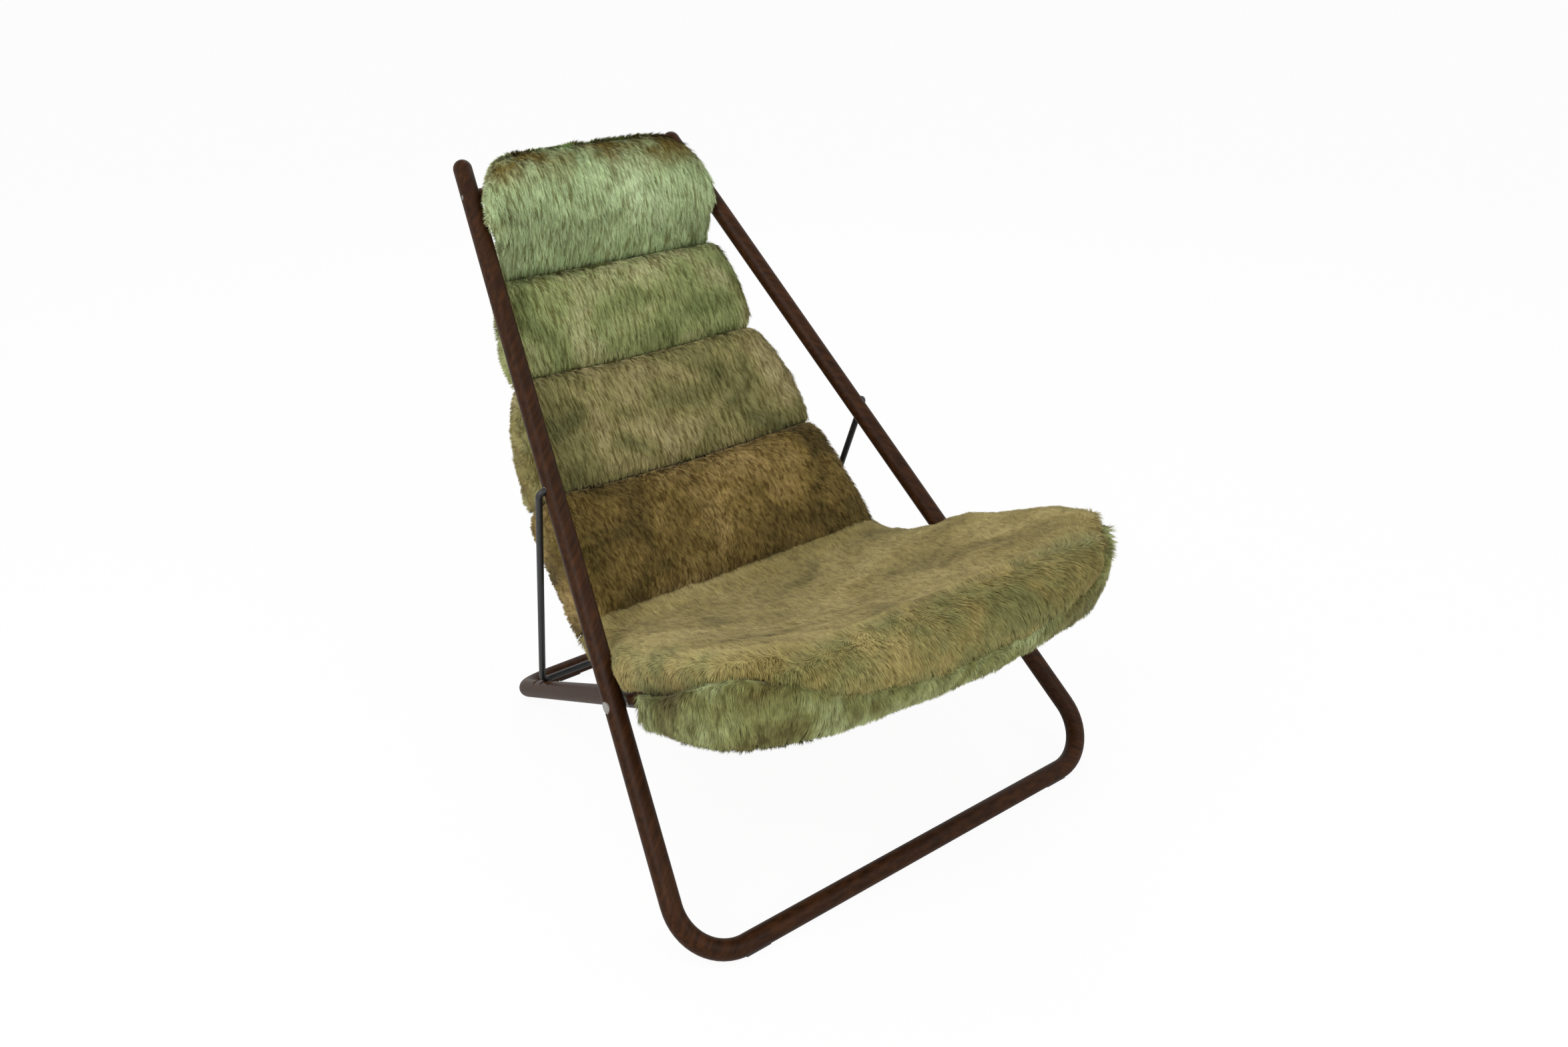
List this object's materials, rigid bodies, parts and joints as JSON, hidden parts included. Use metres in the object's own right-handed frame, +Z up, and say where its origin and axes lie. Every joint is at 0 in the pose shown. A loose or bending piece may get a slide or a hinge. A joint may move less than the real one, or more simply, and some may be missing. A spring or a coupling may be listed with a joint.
{
  "type": "deck chair",
  "caption": "Folding lounge deck chair: crossed bent-wood frames, a black steel prop that sits in notches, and a quilted fur sling with a head pillow.",
  "frame": {"origin": "on the floor under the middle of the front floor bar", "axes": "+X to the sitter's left as seen from the front, +Y to the back, +Z up"},
  "size_m": [0.7576, 0.9535, 0.8542],
  "materials": {
    "lacquered_wood": "satin lacquer",
    "steel_fittings": "dull",
    "black_plastic": "matte",
    "black_steel": "semi-gloss",
    "sling_canvas": "matte",
    "fur": "soft"
  },
  "bodies": {
    "front": {"front_frame": "lacquered_wood", "top_crossbar": "lacquered_wood", "crossbar_screws": "steel_fittings", "front_glide_left": "black_plastic", "front_glide_right": "black_plastic", "prop_bushes": "steel_fittings", "pivot_bolts": "steel_fittings", "pivot_nuts": "steel_fittings", "crossbar_sleeve": "sling_canvas", "back_canvas": "sling_canvas", "head_pillow": "fur", "back_panel_upper": "fur", "back_panel_middle": "fur", "back_panel_lower": "fur"},
    "rear": {"rear_frame": "lacquered_wood", "seat_bow": "lacquered_wood", "bow_dowels": "lacquered_wood", "rear_glide_left": "black_plastic", "rear_glide_right": "black_plastic", "pivot_washers": "steel_fittings", "bow_sleeve": "sling_canvas", "front_roll": "fur"},
    "prop": {"prop_rod": "black_steel"},
    "seat": {"seat_canvas": "sling_canvas", "seat_panel": "fur"}
  },
  "joints": [
    {"name": "fold", "type": "hinge", "parent": "front", "child": "rear", "pos_m": [0, 0.24536, 0.25361], "axis": [1, 0, 0], "range_deg": [0, 57], "deforming": ["front_roll", "back_panel_middle", "back_panel_lower"]},
    {"name": "prop_hinge", "type": "hinge", "parent": "front", "child": "prop", "pos_m": [0, 0.46361, 0.46809], "axis": [1, 0, 0], "range_deg": [0, 107.6]},
    {"name": "seat_hinge", "type": "hinge", "parent": "front", "child": "seat", "pos_m": [0, 0.44533, 0.23702], "axis": [1, 0, 0], "range_deg": [0, 36], "deforming": ["seat_panel"]}
  ],
  "couplings": [
    {"joint": "prop_hinge", "follows": "fold", "ratio": 1.887},
    {"joint": "seat_hinge", "follows": "fold", "ratio": 0.63}
  ]
}
